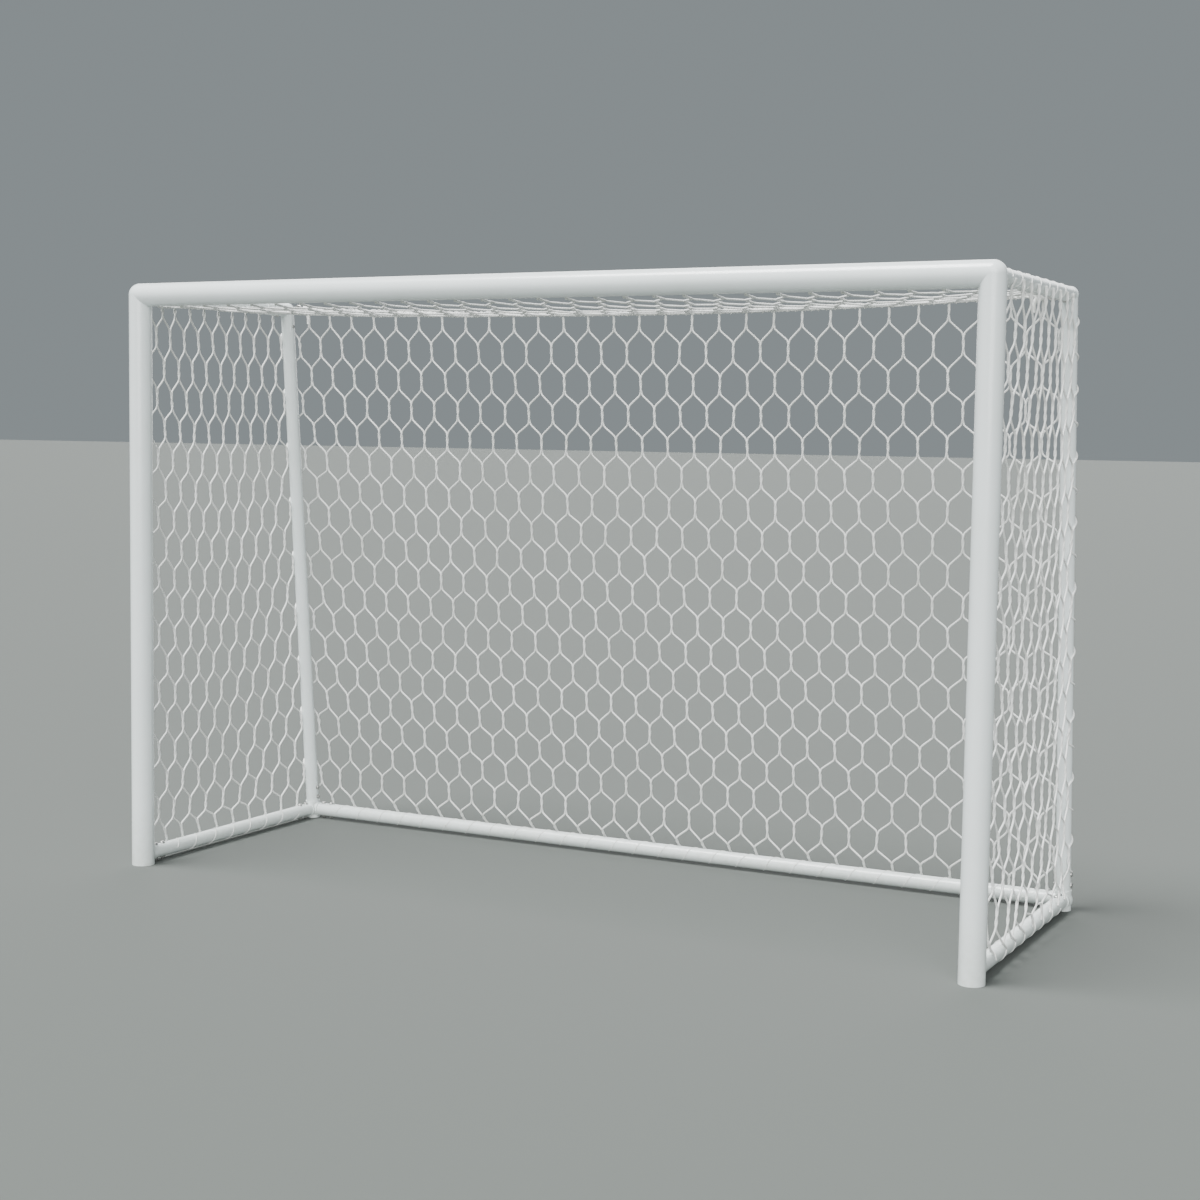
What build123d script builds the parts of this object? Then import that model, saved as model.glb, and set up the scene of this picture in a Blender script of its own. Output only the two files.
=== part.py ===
"""A free-standing soccer goal: a bolted tube frame, its net and the rope across the rear top.

+Z is up, +X runs along the crossbar and +Y points to the back of the goal. The origin is on
the ground, at the middle of the whole goal. Left is -X and right is +X. Lengths are in
millimetres and angles in degrees.
"""
import os
from math import atan2, cos, radians, sin, tan

from build123d import *

# Goal mouth and frame
inside_width = 3000.0        # between the posts
inside_height = 2000.0       # from the ground to the underside of the crossbar
post_d = 80.0                # posts and crossbar
post_wall = 3.0
tube_d = 50.0                # side bars, uprights and rear ground bar
tube_wall = 2.5
top_depth = 860.0            # post axis to rear upright axis, at the top
ground_depth = 1040.0        # post axis to rear ground bar axis
ground_bar_height = 10.0     # ground to the underside of the ground bars

# Castings that join the tubes
front_collar = 22.0          # front corner's ball to the end of the post or crossbar
side_collar = 12.0           # front corner's ball to the end of the top side bar
rear_ball_rise = 2.0         # rear elbow's ball above the tubes
rear_collar = 7.0            # rear elbow's ball to the ends of its tubes
ground_ball_rise = 7.0       # ground corner's ball above the tubes
ground_collar_rise = 3.0     # ground corner's collars above the tubes
ground_collar = 2.0          # ground corner's ball to the ends of its tubes
foot_d = 54.0                # round foot under each ground corner
saddle_height = 8.0          # collar between a post and its ground side bar
spigot_gap = 0.25            # radial gap between a spigot and its tube
spigot_wall = 4.0
post_spigot = 110.0
tube_spigot = 100.0
elbow_spigot = 60.0
foot_cap_height = 8.0
foot_cap_plug = 30.0

# Bolts, nuts and screws
bolt_d = 10.0
bolt_clearance = 0.3         # radial gap between a bolt and its holes
bolt_first = 18.0            # end of the tube to its first bolt
bolt_pitch = 38.0
bolt_head_d = 18.0
bolt_head_height = 6.0
nut_wall = 3.0               # thread to the flats
nut_height = 4.5
nut_dome_wall = 1.5          # thread to the side of the dome
nut_dome_height = 3.5
nut_thread_depth = 6.0
thread_gap = 0.1             # radial gap between a thread and its hole
screw_d = 8.0
screw_clearance = 0.2        # radial gap between a screw and its tube
screw_in = 30.0              # end of the tube to its screw
screw_head_d = 14.0
screw_head_height = 4.0
screw_past_wall = 2.0

# Net hooks
net_columns = 30             # meshes of the net along the crossbar, with a hook for each
hook_slant = 50.0            # crossbar's hooks below the level of its axis
post_hook_pitch = 219.2
post_hook_lowest = 281.0     # height of the lowest hook on a post
hook_base_d = 18.0
hook_base_height = 3.0
hook_rod_d = 7.0
hook_reach = 16.0            # tube surface to the far side of the hook's bend
hook_tip = 14.0

# Rope and its eyes
rope_d = 16.0
eye_rod_d = 8.0
eye_ring_d = 32.0            # across the middle of the ring's wire
eye_wire_d = 7.0
eye_neck = 8.0               # elbow ball to the outside of the ring
eye_thread = 14.0
knot_d = 34.0
knot_length = 34.0
rope_end_gap = 0.4           # end of the rope to its knot
# Distance along the goal and drop below the elbows' centres, for the rope's points
# between its two knots
rope_points = [
    (-1288.0, 7.6),
    (-1128.0, 14.4),
    (-965.0, 20.2),
    (-802.0, 25.0),
    (-640.0, 29.0),
    (-476.0, 32.2),
    (-312.0, 34.4),
    (-148.0, 35.7),
    (16.0, 36.0),
    (180.0, 35.3),
    (344.0, 33.8),
    (506.0, 31.4),
    (668.0, 28.2),
    (830.0, 24.0),
    (990.0, 18.9),
    (1146.0, 12.9),
    (1296.0, 6.5),
]

# Net
net_thickness = 4.0
net_gap = 0.5                # net to the castings that it passes
net_lowest = 15.0            # height of the net's lower edge
net_edge_gap = 16.0          # side net's rear edge to the upright's axis
net_post_gap = 2.0           # side net's front edge to the post
net_end_gap = 18.0           # back net's side edges to the ground balls
net_hook_gap = 3.0           # roof net to the furthest back of the crossbar's hooks
net_knot_gap = 4.0           # nets to the rope's knots and eyes
roof_front_sag = 4.0

# Worked out from the sizes above
post_r = post_d / 2
tube_r = tube_d / 2
rear_ball_r = tube_r + rear_ball_rise
ground_ball_r = tube_r + ground_ball_rise
ground_stub_r = tube_r + ground_collar_rise
front_stub = post_r + front_collar
side_stub = post_r + side_collar
rear_stub = rear_ball_r + rear_collar
ground_stub = ground_ball_r + ground_collar
ground_axis_z = ground_bar_height + tube_r
post_spigot_r = post_r - post_wall - spigot_gap
tube_spigot_r = tube_r - tube_wall - spigot_gap
net_stand_off = max(ground_stub_r, rear_ball_r) + net_gap
rear_reach = max(ground_ball_r, net_stand_off + net_thickness)
post_x = inside_width / 2 + post_r
post_y = post_r - (post_r + ground_depth + rear_reach) / 2
top_y = post_y + top_depth
ground_y = post_y + ground_depth
bar_z = inside_height + post_r
lean = atan2(ground_depth - top_depth, bar_z - ground_axis_z)
upright_length = (bar_z - ground_axis_z) / cos(lean)
rope_sag = max(drop for _, drop in rope_points)
saddle_end = post_r + saddle_height
hook_screw_apart = (screw_head_d + hook_base_d) / 2
bolt_hole_d = bolt_d + 2 * bolt_clearance
screw_hole_d = screw_d + 2 * screw_clearance
thread_hole_d = screw_d + 2 * thread_gap
ring_at = rear_ball_r + eye_neck + eye_wire_d / 2 + eye_ring_d / 2
knot_start = ring_at + eye_ring_d / 2 + eye_wire_d / 2
bolt_rows = (bolt_first, bolt_first + bolt_pitch)

os.makedirs("parts", exist_ok=True)


def save(piece, label):
    """Name a finished piece and write it."""
    piece.part.label = label
    export_step(piece.part, f"parts/{label}.step")


def rod(axis, start, end, radius, mode=Mode.ADD):
    """A round bar along an axis plane's Z, in the piece being built."""
    with BuildSketch(axis.offset(start)) as disc:
        Circle(radius)
    extrude(disc.sketch, amount=end - start, mode=mode)


def tube(axis, start, end, radius, wall):
    """A round tube along an axis plane's Z, in the piece being built."""
    with BuildSketch(axis.offset(start)) as ring:
        Circle(radius)
        Circle(radius - wall, mode=Mode.SUBTRACT)
    extrude(ring.sketch, amount=end - start)


def spigot(axis, start, end, radius):
    """A hollow spigot that a tube slides over, in the piece being built."""
    rod(axis, start, end, radius)
    rod(axis, start, end, radius - spigot_wall, mode=Mode.SUBTRACT)


def side_hole(axis, distance, turned, hole_d, reach, mode=Mode.SUBTRACT):
    """A hole through one or both walls of a tube, square to its axis and facing turned."""
    facing = Plane(origin=axis.offset(distance).origin, z_dir=turned)
    rod(facing, -reach[0], reach[1], hole_d / 2, mode=mode)


# Directions that the tubes leave the joints in. Left and right sides mirror each other.
UP = (0, 0, 1)
DOWN = (0, 0, -1)
BACK = (0, 1, 0)
FORWARD = (0, -1, 0)
LEANING_UP = (0, -sin(lean), cos(lean))
LEANING_DOWN = (0, sin(lean), -cos(lean))
through_tube = (tube_d, tube_d)
through_wall = (0, post_d)

sides = (("left", -1), ("right", 1))


def joint_planes(sign):
    """The axis plane of every tube end on one side, with its Z pointing along the tube."""
    inward = (-sign, 0, 0)
    corner = (sign * post_x, post_y, bar_z)
    elbow = (sign * post_x, top_y, bar_z)
    ground = (sign * post_x, ground_y, ground_axis_z)
    return {
        "post_top": Plane(origin=corner, z_dir=DOWN),
        "crossbar_end": Plane(origin=corner, z_dir=inward),
        "side_bar_front": Plane(origin=corner, z_dir=BACK),
        "side_bar_rear": Plane(origin=elbow, z_dir=FORWARD),
        "upright_top": Plane(origin=elbow, z_dir=LEANING_DOWN),
        "upright_foot": Plane(origin=ground, z_dir=LEANING_UP),
        "rear_bar_end": Plane(origin=ground, z_dir=inward),
        "ground_bar_rear": Plane(origin=ground, z_dir=FORWARD),
        "ground_bar_front": Plane(origin=(sign * post_x, post_y, ground_axis_z), z_dir=BACK),
        "rope_eye": Plane(origin=elbow, z_dir=inward),
    }


# The pieces of each side: post, corner, elbow, uprights and bars
for side, sign in sides:
    outward = (sign, 0, 0)
    inward = (-sign, 0, 0)
    at = joint_planes(sign)
    stand = Plane(origin=(sign * post_x, post_y, 0), z_dir=UP)

    # Post: a plain round tube from its foot cap to the front corner
    with BuildPart() as post:
        tube(stand, foot_cap_height, bar_z - front_stub, post_r, post_wall)
        side_hole(at["post_top"], front_stub + screw_in, BACK, screw_hole_d, through_wall)
    save(post, f"{side}_post")

    # Foot cap: a disc under the post with a plug up inside it
    with BuildPart() as post_foot:
        rod(stand, 0, foot_cap_height, post_r)
        rod(stand, foot_cap_height, foot_cap_height + foot_cap_plug, post_spigot_r)
        fillet(post_foot.edges().group_by(Axis.Z)[-1], radius=3.0)
    save(post_foot, f"{side}_post_foot")

    # Front corner: a ball casting with spigots into the post, the crossbar and the side bar
    with BuildPart() as front_corner:
        with Locations(at["post_top"].origin):
            Sphere(post_r)
        rod(at["post_top"], 0, front_stub, post_r)
        rod(at["crossbar_end"], 0, front_stub, post_r)
        rod(at["side_bar_front"], 0, side_stub, tube_r)
        spigot(at["post_top"], front_stub, front_stub + post_spigot, post_spigot_r)
        spigot(at["crossbar_end"], front_stub, front_stub + post_spigot, post_spigot_r)
        spigot(at["side_bar_front"], side_stub, side_stub + elbow_spigot, tube_spigot_r)
        side_hole(at["post_top"], front_stub + screw_in, BACK, thread_hole_d, through_wall)
        side_hole(at["crossbar_end"], front_stub + screw_in, BACK, thread_hole_d, through_wall)
        side_hole(at["side_bar_front"], side_stub + screw_in, DOWN, thread_hole_d, through_wall)
    save(front_corner, f"{side}_front_corner")

    # Top side bar: from the front corner back to the rear elbow
    with BuildPart() as top_side_bar:
        tube(at["side_bar_front"], side_stub, top_depth - rear_stub, tube_r, tube_wall)
        side_hole(at["side_bar_front"], side_stub + screw_in, DOWN, screw_hole_d, through_wall)
        side_hole(at["side_bar_rear"], rear_stub + screw_in, DOWN, screw_hole_d, through_wall)
    save(top_side_bar, f"{side}_top_side_bar")

    # Rear elbow: a ball casting with two spigots and a threaded hole for the rope's eye
    with BuildPart() as rear_elbow:
        with Locations(at["side_bar_rear"].origin):
            Sphere(rear_ball_r)
        rod(at["side_bar_rear"], 0, rear_stub, tube_r)
        rod(at["upright_top"], 0, rear_stub, tube_r)
        spigot(at["side_bar_rear"], rear_stub, rear_stub + elbow_spigot, tube_spigot_r)
        spigot(at["upright_top"], rear_stub, rear_stub + elbow_spigot, tube_spigot_r)
        side_hole(at["side_bar_rear"], rear_stub + screw_in, DOWN, thread_hole_d, through_wall)
        side_hole(at["upright_top"], rear_stub + screw_in, inward, thread_hole_d, through_wall)
        eye_hole_r = eye_rod_d / 2 + thread_gap
        rod(at["rope_eye"], rear_ball_r - eye_thread, rear_ball_r + 1, eye_hole_r, mode=Mode.SUBTRACT)
    save(rear_elbow, f"{side}_rear_elbow")

    # Rear upright: leans forward from the ground corner to the rear elbow
    with BuildPart() as rear_upright:
        tube(at["upright_foot"], ground_stub, upright_length - rear_stub, tube_r, tube_wall)
        side_hole(at["upright_top"], rear_stub + screw_in, inward, screw_hole_d, through_wall)
        for row in bolt_rows:
            side_hole(at["upright_foot"], ground_stub + row, outward, bolt_hole_d, through_tube)
    save(rear_upright, f"{side}_rear_upright")

    # Ground corner: a three-way ball casting on a round foot, with drilled spigots
    with BuildPart() as ground_corner:
        with Locations(at["upright_foot"].origin):
            Sphere(ground_ball_r)
        rod(Plane(origin=(sign * post_x, ground_y, 0), z_dir=UP), 0, ground_axis_z, foot_d / 2)
        for end, turned in (("upright_foot", outward), ("rear_bar_end", UP), ("ground_bar_rear", UP)):
            rod(at[end], 0, ground_stub, ground_stub_r)
            spigot(at[end], ground_stub, ground_stub + tube_spigot, tube_spigot_r)
            for row in bolt_rows:
                side_hole(at[end], ground_stub + row, turned, bolt_hole_d, through_tube)
    save(ground_corner, f"{side}_ground_corner")

    # Ground side bar: from the post's spigot back to the ground corner
    with BuildPart() as ground_side_bar:
        tube(at["ground_bar_front"], saddle_end, ground_depth - ground_stub, tube_r, tube_wall)
        for row in bolt_rows:
            side_hole(at["ground_bar_front"], saddle_end + row, UP, bolt_hole_d, through_tube)
            side_hole(at["ground_bar_rear"], ground_stub + row, UP, bolt_hole_d, through_tube)
    save(ground_side_bar, f"{side}_ground_side_bar")

    # Ground spigot: a collar shaped to the post, welded to it, with a drilled spigot
    with BuildPart() as ground_spigot:
        rod(at["ground_bar_front"], 0, saddle_end, ground_stub_r)
        rod(stand, -post_r, bar_z / 2, post_r, mode=Mode.SUBTRACT)
        spigot(at["ground_bar_front"], saddle_end, saddle_end + tube_spigot, tube_spigot_r)
        for row in bolt_rows:
            side_hole(at["ground_bar_front"], saddle_end + row, UP, bolt_hole_d, through_tube)
    save(ground_spigot, f"{side}_post_ground_spigot")

    # Rope eye: a ring on a threaded rod, screwed into the rear elbow
    with BuildPart() as rope_eye:
        with Locations(Plane(origin=at["rope_eye"].offset(ring_at).origin, z_dir=BACK)):
            Torus(eye_ring_d / 2, eye_wire_d / 2)
        rod(at["rope_eye"], rear_ball_r - eye_thread, ring_at - eye_ring_d / 2, eye_rod_d / 2)
    save(rope_eye, f"{side}_rope_eye")

    # Rope knot: the lump of the rope's knot, against the ring's inner side
    with BuildPart() as rope_knot:
        rod(at["rope_eye"], knot_start, knot_start + knot_length, knot_d / 2)
        fillet(rope_knot.edges().filter_by(GeomType.CIRCLE), radius=7.0)
    save(rope_knot, f"{side}_rope_knot")

# Crossbar: a plain round tube between the two front corners
left_end = joint_planes(-1)
right_end = joint_planes(1)
with BuildPart() as crossbar:
    tube(left_end["crossbar_end"], front_stub, 2 * post_x - front_stub, post_r, post_wall)
    side_hole(left_end["crossbar_end"], front_stub + screw_in, BACK, screw_hole_d, through_wall)
    side_hole(right_end["crossbar_end"], front_stub + screw_in, BACK, screw_hole_d, through_wall)
save(crossbar, "crossbar")

# Rear ground bar: a plain round tube between the two ground corners
with BuildPart() as rear_ground_bar:
    tube(left_end["rear_bar_end"], ground_stub, 2 * post_x - ground_stub, tube_r, tube_wall)
    for row in bolt_rows:
        side_hole(left_end["rear_bar_end"], ground_stub + row, UP, bolt_hole_d, through_tube)
        side_hole(right_end["rear_bar_end"], ground_stub + row, UP, bolt_hole_d, through_tube)
save(rear_ground_bar, "rear_ground_bar")

# One bolt, lying along Z with the middle of its tube at the origin: a domed head and a shank
with BuildPart() as bolt:
    with BuildSketch(Plane.XY.offset(tube_r)):
        Circle(bolt_head_d / 2)
    extrude(amount=bolt_head_height)
    fillet(bolt.edges().group_by(Axis.Z)[-1], radius=bolt_head_height * 0.8)
    with BuildSketch(Plane.XY.offset(-tube_r - nut_thread_depth + 0.5)):
        Circle(bolt_d / 2)
    extrude(amount=tube_d + nut_thread_depth)

# One dome nut, on the far side of the tube from the bolt's head
with BuildPart() as dome_nut:
    with BuildSketch(Plane.XY.offset(-tube_r)):
        RegularPolygon(bolt_d / 2 + nut_wall, 6, major_radius=False)
    extrude(amount=-nut_height)
    with BuildSketch(Plane.XY.offset(-tube_r - nut_height)):
        Circle(bolt_d / 2 + nut_dome_wall)
    extrude(amount=-nut_dome_height)
    fillet(dome_nut.edges().group_by(Axis.Z)[0], radius=nut_dome_height * 0.8)
    with BuildSketch(Plane.XY.offset(-tube_r)):
        Circle(bolt_d / 2 + thread_gap)
    extrude(amount=-nut_thread_depth, mode=Mode.SUBTRACT)

# One button screw, with its head on a tube of the given radius and its Z outwards
screws = {}
for radius, wall in ((post_r, post_wall), (tube_r, tube_wall)):
    screw_length = wall + spigot_gap + spigot_wall + screw_past_wall
    with BuildPart() as screw:
        with BuildSketch(Plane.XY.offset(radius)):
            Circle(screw_head_d / 2)
        extrude(amount=screw_head_height)
        fillet(screw.edges().group_by(Axis.Z)[-1], radius=screw_head_height * 0.7)
        with BuildSketch(Plane.XY.offset(radius - screw_length)):
            Circle(screw_d / 2)
        extrude(amount=screw_length)
    screws[radius] = screw

# One net hook, with its base on the tube's surface and its tip turned up
with BuildPart() as net_hook:
    with BuildSketch(Plane.XY):
        Circle(hook_base_d / 2)
    extrude(amount=hook_base_height)
    with BuildSketch(Plane.XY.offset(hook_base_height)):
        Circle(hook_rod_d / 2)
    extrude(amount=hook_reach - hook_base_height)
    with BuildSketch(Plane.XZ.offset(-hook_rod_d / 2)) as tip:
        with Locations((0, hook_reach - hook_rod_d / 2)):
            Circle(hook_rod_d / 2)
    extrude(amount=hook_tip)
    fillet(net_hook.faces().sort_by(Axis.Y)[0].edges(), radius=2.0)

# Bolts and dome nuts: two through each end of the bars and each upright's foot
for side, sign in sides:
    at = joint_planes(sign)
    outward = (sign, 0, 0)
    bolted = (
        ("upright", at["upright_foot"], ground_stub, outward),
        ("rear_bar", at["rear_bar_end"], ground_stub, UP),
        ("side_bar_rear", at["ground_bar_rear"], ground_stub, UP),
        ("side_bar_front", at["ground_bar_front"], saddle_end, UP),
    )
    for place, axis, start, turned in bolted:
        spots = [Plane(origin=axis.offset(start + row).origin, z_dir=turned) for row in bolt_rows]
        with BuildPart() as bolt_pair:
            with Locations(*spots):
                add(bolt.part)
        save(bolt_pair, f"{side}_{place}_bolts")
        with BuildPart() as nut_pair:
            with Locations(*spots):
                add(dome_nut.part)
        save(nut_pair, f"{side}_{place}_nuts")

    # Screws that hold the spigots of the front corner and the rear elbow
    screwed = (
        (at["post_top"], front_stub, BACK, post_r),
        (at["crossbar_end"], front_stub, BACK, post_r),
        (at["side_bar_front"], side_stub, DOWN, tube_r),
        (at["side_bar_rear"], rear_stub, DOWN, tube_r),
        (at["upright_top"], rear_stub, (-sign, 0, 0), tube_r),
    )
    with BuildPart() as corner_screws:
        for axis, start, turned, radius in screwed:
            with Locations(Plane(origin=axis.offset(start + screw_in).origin, z_dir=turned)):
                add(screws[radius].part)
    save(corner_screws, f"{side}_corner_screws")

    # Net hooks up the back of the post
    hook_room = bar_z - front_stub - screw_in - hook_screw_apart - post_hook_lowest
    hook_count = int(hook_room / post_hook_pitch) + 1
    hook_heights = [post_hook_lowest + post_hook_pitch * step for step in range(hook_count)]
    with BuildPart() as post_hooks:
        for height in hook_heights:
            spot = Plane(origin=(sign * post_x, post_y + post_r, height), x_dir=(1, 0, 0), z_dir=BACK)
            with Locations(spot):
                add(net_hook.part)
    save(post_hooks, f"{side}_post_hooks")

# Net hooks along the lower back of the crossbar, evenly about its middle
hook_pitch = 2 * post_x / net_columns
hook_room = post_x - front_stub - screw_in - hook_screw_apart
half_count = int(hook_room / hook_pitch + 0.5)
hook_back = cos(radians(hook_slant))
hook_down = sin(radians(hook_slant))
hook_base_y = post_y + post_r * hook_back
hook_base_z = bar_z - post_r * hook_down
with BuildPart() as crossbar_hooks:
    for step in range(-half_count, half_count):
        hook_at = ((step + 0.5) * hook_pitch, hook_base_y, hook_base_z)
        spot = Plane(origin=hook_at, x_dir=(1, 0, 0), z_dir=(0, hook_back, -hook_down))
        with Locations(spot):
            add(net_hook.part)
save(crossbar_hooks, "crossbar_hooks")

# Rope across the rear top, sagging between its two knots
rope_end = post_x - knot_start - knot_length - rope_end_gap
rope_places = [(-rope_end, 0), *rope_points, (rope_end, 0)]
route = [Vector(x, top_y, bar_z - drop) for x, drop in rope_places]
bend_radii = []
for before, here, after in zip(route, route[1:], route[2:]):
    half_turn = radians((here - before).get_angle(after - here)) / 2
    shorter_run = min((here - before).length, (after - here).length)
    bend_radii.append(0.45 * shorter_run / tan(half_turn))
with BuildPart() as rear_top_rope:
    with BuildLine() as rope_line:
        FilletPolyline(*route, radius=bend_radii)
    with BuildSketch(Plane(origin=rope_line.line @ 0, z_dir=rope_line.line % 0)) as rope_section:
        Circle(rope_d / 2)
    sweep()
save(rear_top_rope, "rear_top_rope")
rope_length = sum(edge.length for edge in rope_line.edges())
rope_volume = rope_length * rope_section.sketch.area
print("rope bend radii:", ", ".join(f"{radius / 1000:.1f} m" for radius in bend_radii))
print(f"rope length: {rope_length:.0f} mm")
print(f"rope volume over section times length: {rear_top_rope.part.volume / rope_volume:.4f}")

# Back net: hangs from the rope to the outside of the rear ground bar
back_foot_y = ground_y + net_stand_off
back_top_z = bar_z - eye_ring_d / 2 - eye_wire_d / 2 - net_knot_gap
back_lean = atan2(back_foot_y - top_y, back_top_z - net_lowest)
back_height = (back_top_z - net_lowest) / cos(back_lean)
back_half = post_x - ground_ball_r - net_end_gap
back_plane = Plane(
    origin=(0, back_foot_y, net_lowest),
    x_dir=(-1, 0, 0),
    z_dir=(0, cos(back_lean), sin(back_lean)),
)
with BuildPart() as net_back:
    with BuildSketch(back_plane):
        with BuildLine():
            Polyline((-back_half, back_height), (-back_half, 0), (back_half, 0), (back_half, back_height))
            ThreePointArc((back_half, back_height), (0, back_height - rope_sag), (-back_half, back_height))
        make_face()
    extrude(amount=net_thickness)
save(net_back, "net_back")

# Side nets: outside the side frames, between the post and the rear upright
for side, sign in sides:
    net_x = post_x + net_stand_off
    with BuildPart() as side_net:
        with BuildSketch(Plane.YZ.offset(sign * net_x)):
            with BuildLine():
                Polyline(
                    (post_y + post_r + net_post_gap, net_lowest),
                    (ground_y + (ground_axis_z - net_lowest) * tan(lean) - net_edge_gap, net_lowest),
                    (top_y - net_edge_gap, bar_z),
                    (post_y + post_r + net_post_gap, bar_z),
                    close=True,
                )
            make_face()
        extrude(amount=sign * net_thickness)
    save(side_net, f"net_{side}")

# Roof net: from the crossbar's hooks to the rope, sagging with the rope
roof_half = post_x - net_stand_off
hook_furthest = post_r + hook_reach + hook_tip
roof_edges = (
    (post_y + hook_furthest + net_hook_gap, hook_base_z, roof_front_sag),
    (top_y - knot_d / 2 - net_knot_gap, bar_z, rope_sag),
)
with BuildPart() as net_roof:
    for edge_y, edge_z, sag in roof_edges:
        upper = edge_z + net_thickness / 2
        lower = edge_z - net_thickness / 2
        with BuildSketch(Plane.XZ.offset(-edge_y)):
            with BuildLine():
                ThreePointArc((-roof_half, upper), (0, upper - sag), (roof_half, upper))
                Line((roof_half, upper), (roof_half, lower))
                ThreePointArc((roof_half, lower), (0, lower - sag), (-roof_half, lower))
                Line((-roof_half, lower), (-roof_half, upper))
            make_face()
    loft(ruled=True)
save(net_roof, "net_roof")
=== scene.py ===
"""A free-standing soccer goal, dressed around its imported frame: finishes, rope, knots and net.

Everything is in metres in the frame's own axes: +X along the crossbar, +Y to the back, +Z up.
"""
from functools import partial
from math import cos, exp, pi, radians, sin

import bmesh
import bpy
import numpy as np
from mathutils import Matrix, Vector


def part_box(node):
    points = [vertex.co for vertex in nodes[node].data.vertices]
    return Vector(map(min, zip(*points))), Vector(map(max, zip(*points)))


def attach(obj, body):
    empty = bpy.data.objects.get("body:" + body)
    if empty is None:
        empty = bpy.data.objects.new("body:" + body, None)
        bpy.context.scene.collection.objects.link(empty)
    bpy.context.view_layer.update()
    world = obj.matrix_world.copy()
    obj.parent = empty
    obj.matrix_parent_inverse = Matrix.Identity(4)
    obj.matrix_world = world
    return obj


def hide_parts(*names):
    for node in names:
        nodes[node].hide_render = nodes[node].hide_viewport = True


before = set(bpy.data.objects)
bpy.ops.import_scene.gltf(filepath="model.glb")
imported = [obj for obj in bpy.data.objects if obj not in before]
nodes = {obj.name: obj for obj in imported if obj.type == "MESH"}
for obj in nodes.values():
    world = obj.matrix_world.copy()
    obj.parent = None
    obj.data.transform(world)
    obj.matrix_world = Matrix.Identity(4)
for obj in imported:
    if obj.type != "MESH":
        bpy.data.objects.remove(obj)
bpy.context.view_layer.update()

# ---------------------------------------------------------------- camera
# It stands to the right of the mouth, at standing height, and looks at the far rear corner.
CAMERA_PLACE = (3.154, -5.993, 1.577)
CAMERA_HEADING = 27.464      # degrees, turned left of +Y
CAMERA_DIP = 4.839           # degrees, below level
CAMERA_ROLL = 0.817          # degrees
SENSOR_WIDTH = 36.0          # millimetres, as is the lens
LENS = 59.1

camera_data = bpy.data.cameras.new("camera")
camera_data.sensor_width = SENSOR_WIDTH
camera_data.lens = LENS
camera = bpy.data.objects.new("camera", camera_data)
bpy.context.scene.collection.objects.link(camera)
turn = Matrix.Rotation(radians(CAMERA_HEADING), 4, "Z")
tilt = Matrix.Rotation(radians(90 - CAMERA_DIP), 4, "X")
roll = Matrix.Rotation(radians(CAMERA_ROLL), 4, "Z")
camera.matrix_world = Matrix.Translation(CAMERA_PLACE) @ turn @ tilt @ roll
bpy.context.scene.camera = camera

# ---------------------------------------------------------------- posts, bars and castings
# Aluminium tube and cast corners in gloss white powder coat, with its fine orange peel, hazed
# by weather and splashed with soil near the ground. The white is the coat's own; its cool cyan
# tint is painted green bounce light from grass and painted shade.
SIDES = ("left", "right")
TUBES = ("post", "top_side_bar", "rear_upright", "ground_side_bar")
CASTINGS = ("front_corner", "rear_elbow", "ground_corner", "post_foot", "post_ground_spigot")
# White coat colours, each with a cyan tint of painted bounce light from grass and painted shade.
TUBE_WHITE_BOUNCE_TINT = (0.80, 0.86, 0.86, 1)
CASTING_WHITE_BOUNCE_TINT = (0.79, 0.85, 0.85, 1)
SOIL = (0.42, 0.45, 0.36, 1)
TUBE_GLOSS = 0.24            # roughness where the coat is clean
CASTING_GLOSS = 0.3
DULLED = 0.4                 # roughness that full dirt adds


def set_inputs(node, values):
    """Sets a shader node's inputs by name."""
    for name, value in values.items():
        node.inputs[name].default_value = value


def noise(make, link, vector, values):
    """A noise texture read at a vector output."""
    texture = make("ShaderNodeTexNoise")
    set_inputs(texture, values)
    link(vector, texture.inputs["Vector"])
    return texture


def product(make, link, first, second):
    """Two outputs multiplied."""
    multiply = make("ShaderNodeMath")
    multiply.operation = "MULTIPLY"
    link(first, multiply.inputs[0])
    link(second, multiply.inputs[1])
    return multiply.outputs["Value"]


def group_sockets(group, inputs, outputs):
    """Adds named sockets to a shader node group, with a default for each input."""
    for name, kind, value in inputs:
        socket = group.interface.new_socket(name=name, in_out="INPUT", socket_type=kind)
        socket.default_value = value
    for name, kind in outputs:
        group.interface.new_socket(name=name, in_out="OUTPUT", socket_type=kind)


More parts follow.
